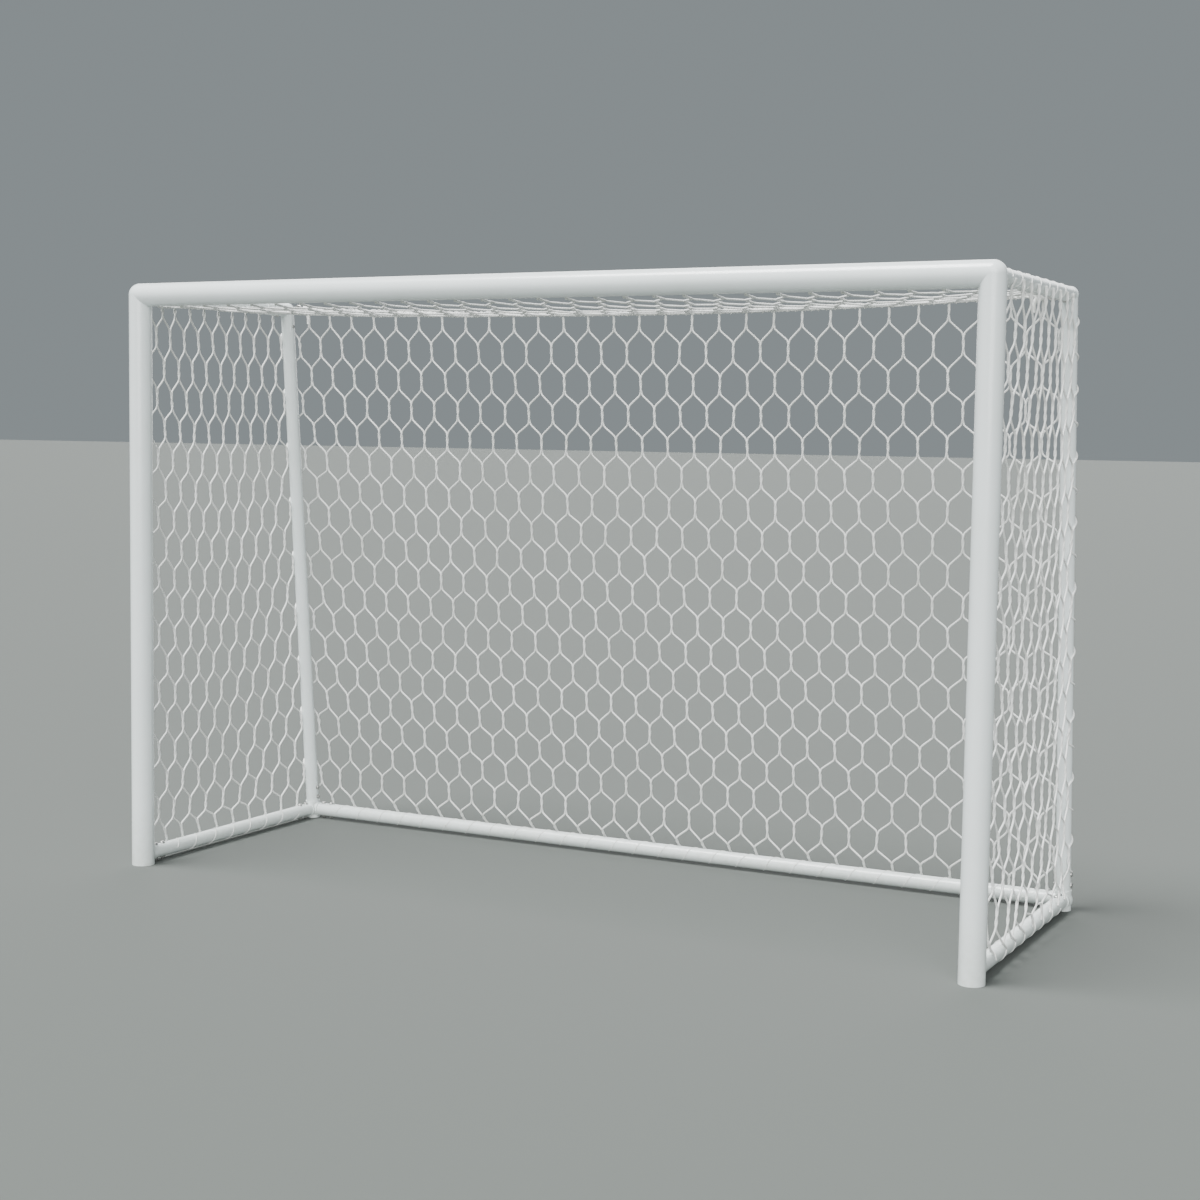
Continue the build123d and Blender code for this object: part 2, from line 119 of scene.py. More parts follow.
def weathering_group():
    """Slow patches of dirt and soil splashed near the ground, as a mask and a tinted colour."""
    group = bpy.data.node_groups.new("weathering", "ShaderNodeTree")
    group_sockets(
        group,
        (
            ("Clean", "NodeSocketColor", (0.8, 0.8, 0.8, 1)),
            ("Dirty", "NodeSocketColor", (0.4, 0.4, 0.35, 1)),
            ("Scale", "NodeSocketFloat", 6.0),
            ("Amount", "NodeSocketFloat", 0.3),
            ("Splash Height", "NodeSocketFloat", 0.12),
            ("Splash", "NodeSocketFloat", 0.4),
        ),
        (("Color", "NodeSocketColor"), ("Mask", "NodeSocketFloat")),
    )
    make, link = group.nodes.new, group.links.new
    given = make("NodeGroupInput")
    out = make("NodeGroupOutput")
    place = make("ShaderNodeTexCoord").outputs["Object"]
    patches = noise(make, link, place, {"Detail": 6.0, "Roughness": 0.62})
    link(given.outputs["Scale"], patches.inputs["Scale"])
    contrast = make("ShaderNodeMapRange")
    set_inputs(contrast, {"From Min": 0.46, "From Max": 0.78})
    link(patches.outputs["Fac"], contrast.inputs["Value"])
    grime = product(make, link, contrast.outputs["Result"], given.outputs["Amount"])
    height = make("ShaderNodeSeparateXYZ")
    link(place, height.inputs["Vector"])
    low = make("ShaderNodeMapRange")
    set_inputs(low, {"From Min": 0.0, "To Min": 1.0, "To Max": 0.0})
    link(height.outputs["Z"], low.inputs["Value"])
    link(given.outputs["Splash Height"], low.inputs["From Max"])
    specks = noise(make, link, place, {"Scale": 55.0, "Detail": 5.0})
    specks_low_down = product(make, link, low.outputs["Result"], specks.outputs["Fac"])
    splash = product(make, link, specks_low_down, given.outputs["Splash"])
    total = make("ShaderNodeMath")
    total.operation = "ADD"
    total.use_clamp = True
    link(grime, total.inputs[0])
    link(splash, total.inputs[1])
    tint = make("ShaderNodeMix")
    tint.data_type = "RGBA"
    link(total.outputs["Value"], tint.inputs["Factor"])
    link(given.outputs["Clean"], tint.inputs["A"])
    link(given.outputs["Dirty"], tint.inputs["B"])
    link(tint.outputs["Result"], out.inputs["Color"])
    link(total.outputs["Value"], out.inputs["Mask"])
    return group


WEATHERING = weathering_group()


def weathered(make, values):
    """A node of the weathering group with its own values."""
    weather = make("ShaderNodeGroup")
    weather.node_tree = WEATHERING
    set_inputs(weather, values)
    return weather


def new_material(name):
    """A material with its Principled shader and the functions that add to it."""
    material = bpy.data.materials.new(name)
    material.use_nodes = True
    tree = material.node_tree
    return material, tree.nodes["Principled BSDF"], tree.nodes.new, tree.links.new


def vary_roughness(make, link, mask, shader, smooth, rough):
    """Runs a shader's roughness from one value to another by a mask."""
    spread = make("ShaderNodeMapRange")
    set_inputs(spread, {"To Min": smooth, "To Max": rough})
    link(mask, spread.inputs["Value"])
    link(spread.outputs["Result"], shader.inputs["Roughness"])


def raise_surface(make, link, height, shader, strength, distance):
    """Raises a shader's surface by a height."""
    bump = make("ShaderNodeBump")
    set_inputs(bump, {"Strength": strength, "Distance": distance})
    link(height, bump.inputs["Height"])
    link(bump.outputs["Normal"], shader.inputs["Normal"])


def powder_coat(name, clean, gloss):
    """White powder coat with orange peel and thin dirt."""
    material, shader, make, link = new_material(name)
    set_inputs(shader, {"Coat Weight": 0.35, "Coat Roughness": 0.12, "Specular IOR Level": 0.5})
    dirt = {"Dirty": SOIL, "Scale": 4.0, "Amount": 0.10, "Splash Height": 0.22, "Splash": 0.55}
    weather = weathered(make, {"Clean": clean, **dirt})
    link(weather.outputs["Color"], shader.inputs["Base Color"])
    vary_roughness(make, link, weather.outputs["Mask"], shader, gloss, gloss + DULLED)
    place = make("ShaderNodeTexCoord").outputs["Object"]
    peel = noise(make, link, place, {"Scale": 420.0, "Detail": 2.0})
    raise_surface(make, link, peel.outputs["Fac"], shader, strength=0.12, distance=0.0006)
    return material


def dress(names, material):
    """Gives CAD nodes their finish."""
    for name in names:
        slots = nodes[name].data.materials
        slots.clear()
        slots.append(material)


tube_nodes = [f"{side}_{tube}" for side in SIDES for tube in TUBES]
cast_nodes = [f"{side}_{casting}" for side in SIDES for casting in CASTINGS]
dress(
    ["crossbar", "rear_ground_bar"] + tube_nodes,
    powder_coat("tube_powder_coat", TUBE_WHITE_BOUNCE_TINT, TUBE_GLOSS),
)
dress(cast_nodes, powder_coat("casting_powder_coat", CASTING_WHITE_BOUNCE_TINT, CASTING_GLOSS))

# ---------------------------------------------------------------- bolts, nuts, screws and eyes
# Domed bolts with dome nuts through the rear frame's tubes, button screws at the top joints, and
# an eye screwed into each rear elbow for the rope. Stainless steel, lightly scratched and dulled.
STEEL_ENDINGS = ("_bolts", "_nuts", "_screws", "_rope_eye")
STEEL_BRIGHT = (0.66, 0.66, 0.65, 1)
STEEL_DULL = (0.42, 0.41, 0.39, 1)
SCRATCH_STRETCH = (1.0, 1.0, 12.0)


def stainless_steel():
    """Satin stainless steel with fine scratches and dull patches."""
    material, shader, make, link = new_material("stainless_steel")
    set_inputs(shader, {"Metallic": 1.0})
    place = make("ShaderNodeTexCoord").outputs["Object"]
    stretch = make("ShaderNodeMapping")
    set_inputs(stretch, {"Scale": SCRATCH_STRETCH})
    link(place, stretch.inputs["Vector"])
    scratches = noise(make, link, stretch.outputs["Vector"], {"Scale": 260.0, "Detail": 4.0})
    vary_roughness(make, link, scratches.outputs["Fac"], shader, smooth=0.22, rough=0.48)
    patches = noise(make, link, place, {"Scale": 90.0})
    tone = make("ShaderNodeMix")
    tone.data_type = "RGBA"
    set_inputs(tone, {"A": STEEL_BRIGHT, "B": STEEL_DULL})
    link(patches.outputs["Fac"], tone.inputs["Factor"])
    link(tone.outputs["Result"], shader.inputs["Base Color"])
    raise_surface(make, link, scratches.outputs["Fac"], shader, strength=0.1, distance=0.0002)
    return material


dress([name for name in nodes if name.endswith(STEEL_ENDINGS)], stainless_steel())

# ---------------------------------------------------------------- net hooks
# Small hooks that the net's front edges are pushed into, moulded in white nylon and screwed to
# the back of the crossbar and the posts.
NYLON_WHITE = (0.82, 0.83, 0.79, 1)
NYLON_YELLOWED = (0.5, 0.49, 0.4, 1)


def white_nylon():
    """Matt moulded nylon, a little yellowed."""
    material, shader, make, link = new_material("white_nylon")
    set_inputs(shader, {"Specular IOR Level": 0.4})
    ageing = {"Clean": NYLON_WHITE, "Dirty": NYLON_YELLOWED, "Scale": 30.0, "Amount": 0.4}
    weather = weathered(make, ageing)
    link(weather.outputs["Color"], shader.inputs["Base Color"])
    vary_roughness(make, link, weather.outputs["Mask"], shader, smooth=0.42, rough=0.7)
    return material


dress([name for name in nodes if name.endswith("_hooks")], white_nylon())

# ---------------------------------------------------------------- rope across the rear top
# A three-strand white rope, 16 mm thick, tied between the two rear elbows. The net hangs on
# it, so it sags 36 mm at the middle. Its strands are laid round one smooth route. It is
# polypropylene, slightly greyed by weather, with the lay of the yarns raised along it.
ROPE_D = 0.016
STRAND_TURN = 0.056          # length of one full turn of the strands
STRAND_STEPS = 16            # points in that turn
STRAND_R = ROPE_D * 0.255
ROPE_WHITE = (0.92, 0.93, 0.90, 1)
ROPE_DIRT = (0.5, 0.5, 0.45, 1)
elbow_low, elbow_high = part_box("left_rope_knot")
ROPE_Y = (elbow_low.y + elbow_high.y) / 2
ROPE_Z = (elbow_low.z + elbow_high.z) / 2
ROPE_ROUTE = [               # place along the goal, and how far the rope has dropped there
    (-1.4316, 0.0),
    (-1.288, 0.0076),
    (-1.128, 0.0144),
    (-0.965, 0.0202),
    (-0.802, 0.025),
    (-0.640, 0.029),
    (-0.476, 0.0322),
    (-0.312, 0.0344),
    (-0.148, 0.0357),
    (0.016, 0.036),
    (0.180, 0.0353),
    (0.344, 0.0338),
    (0.506, 0.0314),
    (0.668, 0.0282),
    (0.830, 0.024),
    (0.990, 0.0189),
    (1.146, 0.0129),
    (1.296, 0.0065),
    (1.4316, 0.0),
]


def smooth_curve(name, paths, radius=0.0, sides=1, resolution=4):
    """A curve object of open smooth splines, one for each list of points."""
    data = bpy.data.curves.new(name, "CURVE")
    data.dimensions = "3D"
    data.bevel_depth = radius
    data.bevel_resolution = sides
    data.use_fill_caps = True
    data.resolution_u = resolution
    for path in paths:
        spline = data.splines.new("NURBS")
        spline.points.add(len(path) - 1)
        spline.points.foreach_set("co", np.c_[path, np.ones(len(path))].ravel())
        spline.order_u = 3
        spline.use_endpoint_u = True
    piece = bpy.data.objects.new(name, data)
    bpy.context.scene.collection.objects.link(piece)
    return piece


def mesh_of(curve_piece):
    """The mesh that a curve object makes; the curve object is removed."""
    bpy.context.view_layer.update()
    shaped = curve_piece.evaluated_get(bpy.context.evaluated_depsgraph_get())
    mesh = bpy.data.meshes.new_from_object(shaped)
    bpy.data.objects.remove(curve_piece)
    return mesh


def as_mesh(curve_piece):
    """The same piece as a smooth-shaded mesh, with the curve's own UV map along it."""
    name = curve_piece.name
    mesh = mesh_of(curve_piece)
    piece = bpy.data.objects.new(name, mesh)
    bpy.context.scene.collection.objects.link(piece)
    for face in mesh.polygons:
        face.use_smooth = True
    return piece


def line_points(curve_piece):
    """The points that a curve with no bevel runs through, in order."""
    mesh = mesh_of(curve_piece)
    points = np.zeros(len(mesh.vertices) * 3)
    mesh.vertices.foreach_get("co", points)
    bpy.data.meshes.remove(mesh)
    return points.reshape(-1, 3)


def marks_along(line):
    """How far along a line of points each of them lies."""
    return np.r_[0, np.cumsum(np.linalg.norm(np.diff(line, axis=0), axis=1))]


def points_at(line, places):
    """The points at given distances along a line of points."""
    marks = marks_along(line)
    return np.stack([np.interp(places, marks, line[:, axis]) for axis in range(3)], axis=1)


def cord_material(name, clean, dirty, length, turn, thickness):
    """Laid twine or rope, with painted shade in the grooves between its yarns. length is one
    spline's length and turn is one turn of its yarns.
    """
    material, shader, make, link = new_material(name)
    set_inputs(shader, {"Sheen Weight": 0.25, "Sheen Roughness": 0.5, "Specular IOR Level": 0.35})
    dirt = {"Scale": 3.5, "Amount": 0.5, "Splash Height": 0.25, "Splash": 0.5}
    weather = weathered(make, {"Clean": clean, "Dirty": dirty, **dirt})
    stretch = make("ShaderNodeMapping")
    set_inputs(stretch, {"Scale": (length / turn, 1.0, 1.0)})
    link(make("ShaderNodeUVMap").outputs["UV"], stretch.inputs["Vector"])
    yarns = make("ShaderNodeTexWave")
    yarns.wave_type = "BANDS"
    yarns.bands_direction = "DIAGONAL"
    set_inputs(yarns, {"Scale": 1.0, "Distortion": 0.4, "Detail": 2.0})
    link(stretch.outputs["Vector"], yarns.inputs["Vector"])
    place = make("ShaderNodeTexCoord").outputs["Object"]
    fuzz = noise(make, link, place, {"Scale": 900.0, "Detail": 3.0})
    height = make("ShaderNodeMath")
    height.operation = "MULTIPLY_ADD"
    link(fuzz.outputs["Fac"], height.inputs[0])
    height.inputs[1].default_value = 0.35
    link(yarns.outputs["Fac"], height.inputs[2])
    raise_surface(
        make, link, height.outputs["Value"], shader, strength=0.6, distance=thickness * 0.12,
    )
    # Painted shade: the base colour is darkened along the yarn bands, in the grooves between the
    # yarns.
    groove_shade = make("ShaderNodeMix")
    groove_shade.data_type = "RGBA"
    groove_shade.blend_type = "MULTIPLY"
    set_inputs(groove_shade, {"Factor": 0.15})
    link(weather.outputs["Color"], groove_shade.inputs["A"])
    link(yarns.outputs["Color"], groove_shade.inputs["B"])
    link(groove_shade.outputs["Result"], shader.inputs["Base Color"])
    vary_roughness(make, link, weather.outputs["Mask"], shader, smooth=0.55, rough=0.85)
    return material


route = [(x, ROPE_Y, ROPE_Z - drop) for x, drop in ROPE_ROUTE]
rope_line = line_points(smooth_curve("rope_route", [route], resolution=8))
rope_length = float(marks_along(rope_line)[-1])
steps = np.linspace(0, rope_length, int(rope_length / STRAND_TURN * STRAND_STEPS))
rope_middle = points_at(rope_line, steps)
strands = []
for third in range(3):
    angle = steps / STRAND_TURN * 2 * pi + third * 2 * pi / 3
    around = np.stack([0 * angle, np.cos(angle), np.sin(angle)], axis=1) * (ROPE_D / 2 - STRAND_R)
    strands.append(rope_middle + around)
rear_rope = as_mesh(smooth_curve("rear_rope", strands, STRAND_R, sides=3, resolution=1))
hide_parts("rear_top_rope")
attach(rear_rope, "root")
rope_finish = cord_material(
    "rope_finish", ROPE_WHITE, ROPE_DIRT, length=2.9, turn=0.006, thickness=0.006,
)
rear_rope.data.materials.append(rope_finish)

# ---------------------------------------------------------------- rope knots
# Each end of the rope passes through its eye, turns back and is wound three times round
# itself, with a short tail left hanging. Distances are from the eye's wire towards the goal's
# middle, then across to the back, then up.
KNOT_TURNS = 3
COIL_R = 0.0125
COIL_STEPS = 8               # points in one turn of the coil
COIL_PITCH = 0.0085
COIL_START = 0.012
COIL_START_ANGLE = -pi * 0.9
KNOT_ROPE_R = ROPE_D * 0.42  # the rope, squeezed in the knot
EYE_INSET = 0.0035           # the eye's inner edge to about the middle of its wire
STANDING = [(0.048, 0.0, 0.0), (0.036, 0.001, 0.001)]
EYE_LOOP = [
    (0.026, 0.004, 0.003),
    (0.014, 0.008, 0.002),
    (0.003, 0.0105, 0.0),
    (-0.0085, 0.007, 0.0),
    (-0.0105, 0.0, 0.0),
    (-0.0085, -0.007, 0.0),
    (0.003, -0.0105, 0.0),
    (0.012, -0.009, -0.003),
]
TAIL = [
    (0.034, -0.012, -0.010),
    (0.040, -0.014, -0.022),
    (0.043, -0.013, -0.038),
    (0.042, -0.012, -0.056),
]

coil = []
for step in range(KNOT_TURNS * COIL_STEPS + 1):
    angle = COIL_START_ANGLE + step * 2 * pi / COIL_STEPS
    away = COIL_START + step * COIL_PITCH / COIL_STEPS
    coil.append((away, COIL_R * cos(angle), COIL_R * sin(angle)))
knot_finish = cord_material(
    "knot_finish", ROPE_WHITE, ROPE_DIRT, length=0.4, turn=0.014, thickness=0.01,
)
for side, sign in (("left", -1), ("right", 1)):
    ring_low, ring_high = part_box(f"{side}_rope_eye")
    wire_x = (ring_low.x if sign > 0 else ring_high.x) + sign * EYE_INSET
    path = [
        (wire_x - sign * away, ROPE_Y + across, ROPE_Z + up)
        for away, across, up in STANDING + EYE_LOOP + coil + TAIL
    ]
    knot = as_mesh(smooth_curve(f"{side}_knot", [path], KNOT_ROPE_R, sides=3, resolution=5))
    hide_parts(f"{side}_rope_knot")
    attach(knot, "root")
    knot.data.materials.append(knot_finish)

# ---------------------------------------------------------------- net
# Hexagonal knotless netting in white polypropylene twine, 6.6 mm thick. Two twines twist once
# round each other down each upright side of a mesh, then part. It hangs outside the rear
# frame, from the hooks of the crossbar and posts and over the rope to the ground bars.
TWINE_D = 0.0066
TWINE_TURN = 0.008           # one turn of the twine's own yarns
TWINE_WHITE = (0.93, 0.94, 0.92, 1)
WALL_DIRT = (0.5, 0.52, 0.46, 1)
ROOF_DIRT = (0.52, 0.54, 0.48, 1)
COLUMNS_BACK = 30
COLUMNS_SIDE = 10
ROWS_WALL = 19
ROWS_ROOF = 8
TWIST_SHARE = 0.62           # share of a row's height that the twisted side of a mesh takes
TWIST_MARKS = (0.02, 0.34, 0.66, 0.98)   # shares of a twisted side where its curve is held
PART_MARKS = (0.12, 0.88)    # the same between two twists, where a twine runs alone

post_low, post_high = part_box("right_post")
bar_low, bar_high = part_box("rear_ground_bar")
side_low, side_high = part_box("right_top_side_bar")
POST_X = (post_low.x + post_high.x) / 2
POST_R = (post_high.x - post_low.x) / 2
POST_BACK = post_high.y
POST_Y = POST_BACK - POST_R
BAR_Z = (side_low.z + side_high.z) / 2
GROUND_Y = (bar_low.y + bar_high.y) / 2
GROUND_Z = (bar_low.z + bar_high.z) / 2
TUBE_R = (bar_high.z - bar_low.z) / 2
TOP_Y = ROPE_Y

STAND_OFF = 0.0285           # a tube's axis to the twine that lies on it
CORNER_OUT = STAND_OFF * 0.5     # an upright's axis to the net's corner, outwards
CORNER_BACK = STAND_OFF * 0.87   # the same, to the back
FOOT_BACK = STAND_OFF * 0.8  # the rear ground bar's axis to the back net's lower edge
NET_FOOT_Z = GROUND_Z + STAND_OFF * 0.6
NEAR_TUBE = 0.060            # a twine this near to a tube's axis may have to bend round it
MESH_STEP = 0.020            # a longer step between two points is split there,
SPLIT_MARKS = (0.2, 0.4, 0.6, 0.8)       # at these shares of it
BEHIND_ROPE = 0.004          # the rope's middle to the edges of net that lie on it, backwards
ABOVE_ROPE = 0.008           # and upwards
HOOK_OUT = 0.012             # a post's or the crossbar's skin to the twine in its hooks
HOOK_SLANT = radians(50)     # how far the crossbar's hooks are turned down from level
HOOK_ASIDE = 0.004           # a post's middle to the twine in its hooks, outwards
EDGE_HOLD = 0.08             # a third of the way in from a held edge to the net's full droop
BACK_DROOP = 0.050           # the full droop, before it is spread down the height of the net
SIDE_DROOP = 0.045
BACK_LEAD = 12               # a twelfth of the back net's width leads in from each upright,
SIDE_LEAD = 5                # a fifth of a side net's leads out from the post
SIDE_TUCK = 8                # and an eighth leads back in to the upright

FALL_ROUNDS = 140            # steps of time in which a net settles
PULL_ROUNDS = 12             # pulls of every twine in one step
KEPT_SPEED = 0.96            # share of a point's speed that is left after one step
OVER_PULL = 1.6              # a twine pulls this much too hard, to settle sooner
SHORTEST = 0.86              # share of its length below which a twine pushes its ends apart
LENGTH_SCATTER = 0.008       # of the twines' lengths, as a share
PLACE_SCATTER = 0.0012       # of the meshes' corners


def rope_height(x):
    """Height of the rope's middle above the ground at a place along the goal."""
    return np.interp(x, rope_line[:, 0], rope_line[:, 2])


def push_out(points, start, end, clearance):
    """Moves points that are inside a tube straight out to its surface."""
    start = np.array(start, float)
    axis = np.array(end, float) - start
    reach = np.linalg.norm(axis)
    axis = axis / reach
    along_axis = (points - start) @ axis
    foot = start + np.clip(along_axis, 0, reach)[:, None] * axis
    out = points - foot
    gap = np.linalg.norm(out, axis=1)
    inside = gap < clearance
    gap = np.maximum(gap, 1e-6)
    moved = foot + out / gap[:, None] * clearance
    return np.where(inside[:, None], moved, points)


def clear_of_frame(points, clearance=STAND_OFF):
    """Keeps twine on the outside of every tube that the net lies on."""
    for sign in (-1, 1):
        x = sign * POST_X
        points = push_out(points, (x, POST_BACK, BAR_Z), (x, TOP_Y, BAR_Z), clearance)
        points = push_out(points, (x, TOP_Y, BAR_Z), (x, GROUND_Y, GROUND_Z), clearance)
        points = push_out(points, (x, POST_BACK, GROUND_Z), (x, GROUND_Y, GROUND_Z), clearance)
    ends = (-POST_X, GROUND_Y, GROUND_Z), (POST_X, GROUND_Y, GROUND_Z)
    return push_out(points, *ends, clearance)


def laid_on_frame(path):
    """A twine's path, with more points near a tube, so that it bends round and not through."""
    path = np.array(path)
    close = np.any(clear_of_frame(path, NEAR_TUBE) != path, axis=1)
    fuller = [path[0]]
    for here in range(1, len(path)):
        start, end = path[here - 1], path[here]
        long_step = np.linalg.norm(end - start) > MESH_STEP
        if long_step and (close[here - 1] or close[here]):
            for share in SPLIT_MARKS:
                fuller.append(start + (end - start) * share)
        fuller.append(end)
    return clear_of_frame(np.array(fuller))


def wall_corner(sign, height_share):
    """The outer rear corner of an upright, where the side net turns into the back net."""
    y = TOP_Y + (GROUND_Y - TOP_Y) * height_share
    z = BAR_Z + (GROUND_Z - BAR_Z) * height_share
    return np.array([sign * (POST_X + CORNER_OUT), y + CORNER_BACK, z])


def droop(depth, from_edge, down):
    """How far a wall of netting hangs below its held edges; the upper meshes take the load."""
    return depth * (1 - exp(-from_edge / EDGE_HOLD)) * (1 - (1 - down) ** 3) * (1 - down)


def back_place(across, down):
    """A point of the back net before it settles; both shares run from 0 to 1."""
    left = wall_corner(-1, down)
    right = wall_corner(1, down)
    point = left + (right - left) * across
    top = np.array([point[0], TOP_Y + BEHIND_ROPE, rope_height(point[0]) + ABOVE_ROPE])
    foot = np.array([point[0], GROUND_Y + FOOT_BACK, NET_FOOT_Z])
    hung = top + (foot - top) * down
    edge = min(1.0, min(across, 1 - across) * BACK_LEAD)
    point = point * (1 - edge) + hung * edge
    point[2] -= droop(BACK_DROOP, min(across, 1 - across) * 2 * POST_X, down)
    return point


def side_place(sign, across, down):
    """A point of a side net, from the post's hooks to the upright, before it settles."""
    z = BAR_Z + (NET_FOOT_Z - BAR_Z) * down
    front = np.array([sign * (POST_X + HOOK_ASIDE), POST_BACK + HOOK_OUT, z])
    rear = wall_corner(sign, down)
    rear[2] = z
    outside = sign * (POST_X + STAND_OFF)
    point = front + (rear - front) * across
    bulge = min(1.0, across * SIDE_LEAD, (1 - across) * SIDE_TUCK)
    point[0] = point[0] * (1 - bulge) + outside * bulge
    point[2] -= droop(SIDE_DROOP, min(across, 1 - across) * (TOP_Y - POST_BACK), down)
    return point


def roof_place(across, down):
    """A point of the roof net, from the crossbar's hooks to the rope, before it settles."""
    x = -POST_X + 2 * POST_X * across
    reach = POST_R + HOOK_OUT
    front = np.array([x, POST_Y + reach * cos(HOOK_SLANT), BAR_Z - reach * sin(HOOK_SLANT)])
    rear = np.array([x, TOP_Y + BEHIND_ROPE, rope_height(x) + ABOVE_ROPE])
    point = front + (rear - front) * down
    inner = POST_X - STAND_OFF
    point[0] = np.clip(point[0], -inner, inner)
    return point


def settle(points, pairs, lengths, free, weight):
    """Lets a net of stretch-free twine hang from its held points; weight is for one step."""
    lowest = np.minimum(points[:, 2], TWINE_D)
    now = points.copy()
    before = points.copy()
    share = np.zeros(len(points))
    np.add.at(share, pairs.ravel(), 1.0)
    for _ in range(FALL_ROUNDS):
        drift = (now - before) * KEPT_SPEED
        before = now.copy()
        now[free] += drift[free]
        now[free, 2] -= weight
        for _ in range(PULL_ROUNDS):
            gap = now[pairs[:, 1]] - now[pairs[:, 0]]
            size = np.linalg.norm(gap, axis=1)
            short = (size - lengths * SHORTEST) * (size < lengths * SHORTEST)
            pull = np.maximum(size - lengths, short)
            step = gap / size[:, None] * (pull * 0.5)[:, None]
            change = np.zeros_like(now)
            np.add.at(change, pairs[:, 0], step)
            np.add.at(change, pairs[:, 1], -step)
            now[free] += change[free] * (OVER_PULL / share[free])[:, None]
        now[:, 2] = np.maximum(now[:, 2], lowest)
        now[free] = clear_of_frame(now[free])
    return now


def twist_column(twine, row, first):
    """Which column's twist a twine takes part in, in a row."""
    return twine if (twine + row + first) % 2 == 0 else twine + 1


def twisted_side(top, foot, beside, hand, radius):
    """One twine's points down the twisted side of a mesh: one turn round the other twine."""
    along_twist = (foot - top) / np.linalg.norm(foot - top)
    beside = beside - along_twist * (beside @ along_twist)
    beside = beside / np.linalg.norm(beside)
    outward = np.cross(along_twist, beside)
    points = []
    for share in TWIST_MARKS:
        angle = 2 * pi * (share - TWIST_MARKS[0]) / (TWIST_MARKS[-1] - TWIST_MARKS[0])
        offset = beside * cos(angle) + outward * sin(angle)
        points.append(top + (foot - top) * share + offset * hand * radius)
    return points


def make_net(name, place, columns, rows, first, slack, weight, seed):
    """One panel of netting. first is 0 where the first row has a twist at the panel's edge."""
    chance = np.random.default_rng(seed)
    half = 2 * columns
    pitch = 1 / (rows - 1 + TWIST_SHARE)
    index = {}
    points = []
    held = []
    for row in range(rows):
        for column in range((row + first) % 2, half + 1, 2):
            for end in (0, 1):
                index[row, column, end] = len(points)
                points.append(place(column / half, (row + TWIST_SHARE * end) * pitch))
                upper_edge = row == 0 and end == 0
                lower_edge = row == rows - 1 and end == 1
                held.append(column in (0, half) or upper_edge or lower_edge)
    points = np.array(points)
    free = ~np.array(held)
    pairs = []
    for (row, column, end), here in index.items():
        if end == 0:
            pairs.append((here, index[row, column, 1]))
        else:
            for near in (column - 1, column + 1):
                if (row + 1, near, 0) in index:
                    pairs.append((here, index[row + 1, near, 0]))
    pairs = np.array(pairs)
    lengths = np.linalg.norm(points[pairs[:, 0]] - points[pairs[:, 1]], axis=1)
    lengths *= 1 + slack + chance.normal(0, LENGTH_SCATTER, len(lengths))
    hung = settle(points, pairs, lengths, free, weight)
    hung[free] += chance.normal(0, PLACE_SCATTER, (int(free.sum()), 3))

    paths = []
    for twine in range(half):
        path = []
        for row in range(rows):
            column = twist_column(twine, row, first)
            top = hung[index[row, column, 0]]
            foot = hung[index[row, column, 1]]
            if (row, column + 2, 0) in index:
                beside = hung[index[row, column + 2, 0]] - top
            else:
                beside = top - hung[index[row, column - 2, 0]]
            hand = 1 if column == twine else -1
            radius = 0.0 if column in (0, half) else TWINE_D * 0.5
            path += twisted_side(top, foot, beside, hand, radius)
            if row < rows - 1:
                after = hung[index[row + 1, twist_column(twine, row + 1, first), 0]]
                path += [foot + (after - foot) * share for share in PART_MARKS]
        path = laid_on_frame(path)
        path[:, 2] = np.maximum(path[:, 2], TWINE_D)
        paths.append(path)
    return as_mesh(smooth_curve(name, paths, TWINE_D / 2, sides=1, resolution=2))


def twine_material(name, dirty, length):
    """The net's twine, for a panel whose twines are about this long."""
    return cord_material(name, TWINE_WHITE, dirty, length, TWINE_TURN, TWINE_D)


left_place = partial(side_place, -1)
right_place = partial(side_place, 1)
wall_twine = twine_material("wall_twine", WALL_DIRT, length=2.4)
roof_twine = twine_material("roof_twine", ROOF_DIRT, length=1.0)
PANELS = (                   # panel, place, columns, rows, first, slack, weight, seed, twine
    ("back", back_place, COLUMNS_BACK, ROWS_WALL, 0, 0.001, 6e-5, 3, wall_twine),
    ("left", left_place, COLUMNS_SIDE, ROWS_WALL, 0, 0.004, 6e-5, 5, wall_twine),
    ("right", right_place, COLUMNS_SIDE, ROWS_WALL, 0, 0.010, 1e-4, 7, wall_twine),
    ("roof", roof_place, COLUMNS_BACK, ROWS_ROOF, 1, -0.002, 1.5e-5, 9, roof_twine),
)
for panel, *layout, twine_finish in PANELS:
    netting = make_net(f"{panel}_netting", *layout)
    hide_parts(f"net_{panel}")
    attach(netting, "root")
    netting.data.materials.append(twine_finish)

# ---------------------------------------------------------------- lacing on the bars and rope
# One length of thinner twine winds round each bar, and round the rope, and picks up the edge of
# the net as it goes, so no edge can lift off.
LACING_D = 0.003
LACING_STEPS = 12            # points in one turn
LACING_STRAY = 0.0016        # how unevenly the turns are spaced
BAR_TURNS = 27               # on the rear ground bar
SIDE_TURNS = 7
ROPE_TURNS = 84
ROPE_STRIDE = 40             # points of the rope's middle in one step of the lacing's line
CORNER_CLEAR = 0.13          # from a ground corner to the lacing's end
FOOT_CLEAR = 0.12            # from a post to the lacing on the ground bar
TOP_CLEAR = 0.07             # from a post to the lacing on the top bar
ELBOW_CLEAR = 0.06           # from a rear elbow to it


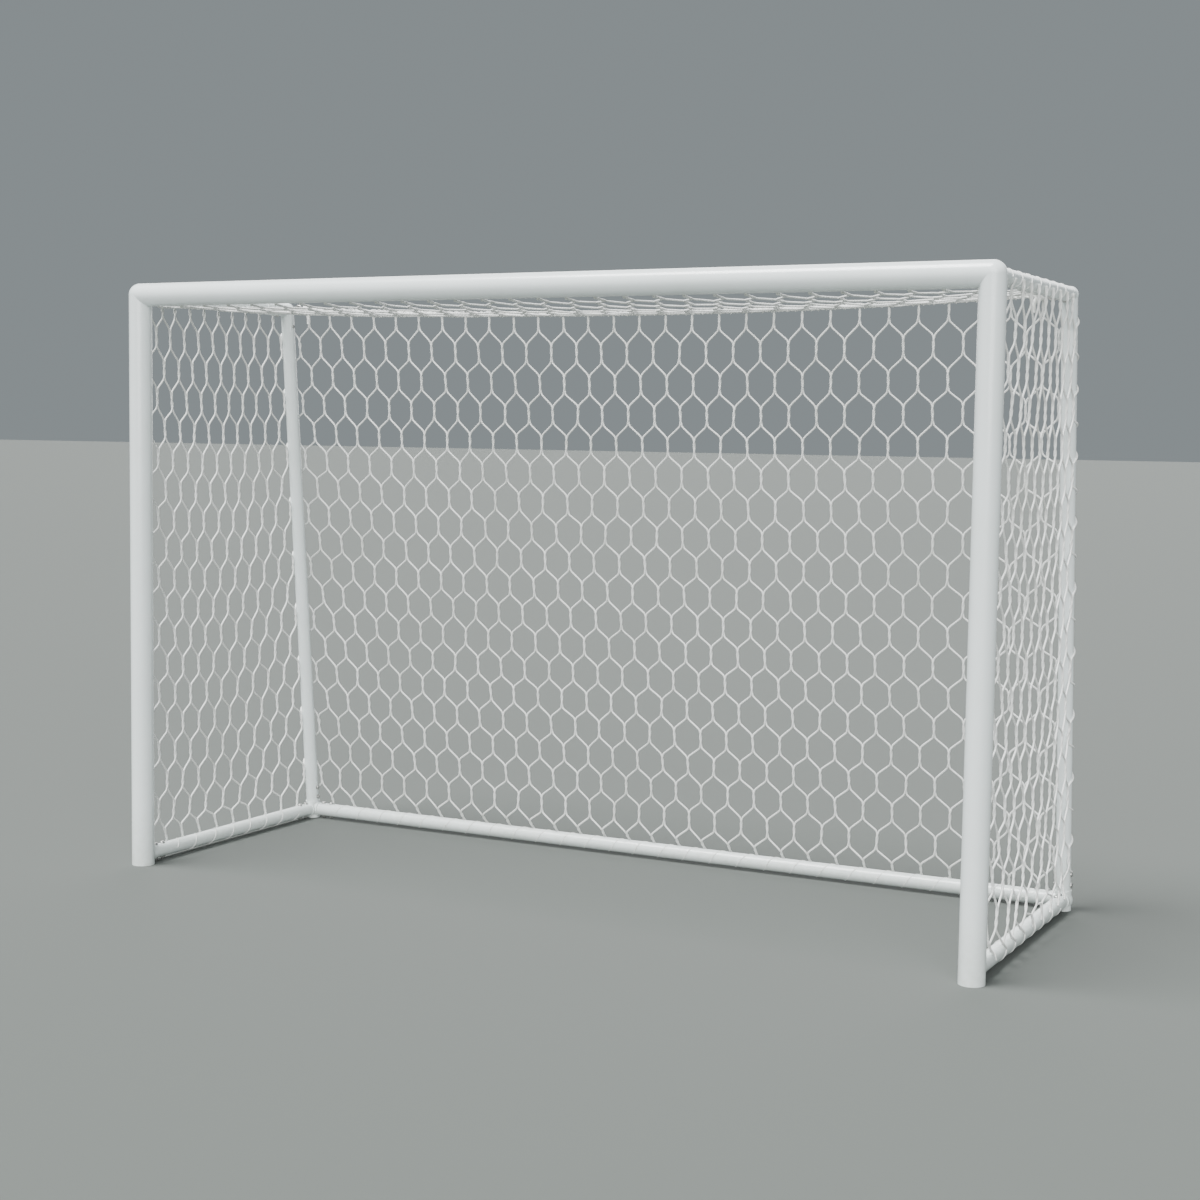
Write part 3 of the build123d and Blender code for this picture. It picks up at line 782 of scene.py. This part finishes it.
def lacing_path(line, core_r, turns, seed):
    """A slightly uneven winding round a line of points."""
    chance = np.random.default_rng(seed)
    line = np.array(line, float)
    length = marks_along(line)[-1]
    axis = (line[-1] - line[0]) / np.linalg.norm(line[-1] - line[0])
    level = np.cross(axis, (0, 0, 1))
    places = np.linspace(0, length, turns * LACING_STEPS + 1)
    stray = np.cumsum(chance.normal(0, LACING_STRAY, len(places)))
    stray -= np.linspace(0, stray[-1], len(places))
    places = np.clip(places + stray, 0, length)
    angle = np.linspace(0, turns * 2 * pi, len(places))
    around = np.outer(np.cos(angle), level) + np.outer(np.sin(angle), (0, 0, 1))
    return points_at(line, places) + around * (core_r + LACING_D / 2)


def side_line(sign, front, rear, z):
    """The part of a side bar's axis that is laced."""
    return [(sign * POST_X, front, z), (sign * POST_X, rear, z)]


corner_x = POST_X - CORNER_CLEAR
ground_reach = (POST_BACK + FOOT_CLEAR, GROUND_Y - CORNER_CLEAR, GROUND_Z)
top_reach = (POST_BACK + TOP_CLEAR, TOP_Y - ELBOW_CLEAR, BAR_Z)
LACINGS = (                  # where, the line it winds round, that line's core, turns
    ("back", [(-corner_x, GROUND_Y, GROUND_Z), (corner_x, GROUND_Y, GROUND_Z)], TUBE_R, BAR_TURNS),
    ("left", side_line(-1, *ground_reach), TUBE_R, SIDE_TURNS),
    ("right", side_line(1, *ground_reach), TUBE_R, SIDE_TURNS),
    ("left_top", side_line(-1, *top_reach), TUBE_R, SIDE_TURNS),
    ("right_top", side_line(1, *top_reach), TUBE_R, SIDE_TURNS),
    ("rope", rope_middle[::ROPE_STRIDE], ROPE_D / 2, ROPE_TURNS),
)
for seed, (place, line, core_r, turns) in enumerate(LACINGS, start=20):
    path = lacing_path(line, core_r, turns, seed)
    lacing = as_mesh(smooth_curve(f"{place}_lacing", [path], LACING_D / 2, sides=1, resolution=2))
    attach(lacing, "root")
    lacing.data.materials.append(wall_twine)

# ---------------------------------------------------------------- floor and lights
# A plain grey studio floor that runs out level to a darker grey room, under broad soft lights
# from above, in front and behind, and the even light of the room.
FLOOR_REACH = 150.0
FLOOR_GREY = (0.098, 0.109, 0.101, 1)
ROOM_GREY = (0.40, 0.45, 0.47, 1)
ROOM_LIGHT = 0.62
LIGHTS = (                   # name, direction, width of its disc in degrees, strength
    ("overhead_light", (0.28, 0.30, -1.0), 30.0, 7.5),
    ("front_light", (-0.45, 1.0, -0.45), 50.0, 3.6),
    ("rear_light", (0.35, -1.0, -0.40), 50.0, 1.4),
)

floor_shape = bmesh.new()
bmesh.ops.create_grid(floor_shape, x_segments=1, y_segments=1, size=FLOOR_REACH)
floor_mesh = bpy.data.meshes.new("floor")
floor_shape.to_mesh(floor_mesh)
floor_shape.free()
floor = bpy.data.objects.new("floor", floor_mesh)
bpy.context.scene.collection.objects.link(floor)
floor_finish, floor_shader, *_ = new_material("studio_floor")
set_inputs(floor_shader, {"Base Color": FLOOR_GREY, "Roughness": 0.9})
floor_mesh.materials.append(floor_finish)

world = bpy.data.worlds.new("studio")
world.use_nodes = True
set_inputs(world.node_tree.nodes["Background"], {"Color": ROOM_GREY, "Strength": ROOM_LIGHT})
bpy.context.scene.world = world
for name, direction, width, strength in LIGHTS:
    light_data = bpy.data.lights.new(name, "SUN")
    light_data.angle = radians(width)
    light_data.energy = strength
    light = bpy.data.objects.new(name, light_data)
    light.rotation_euler = Vector(direction).to_track_quat("-Z", "Y").to_euler()
    bpy.context.scene.collection.objects.link(light)
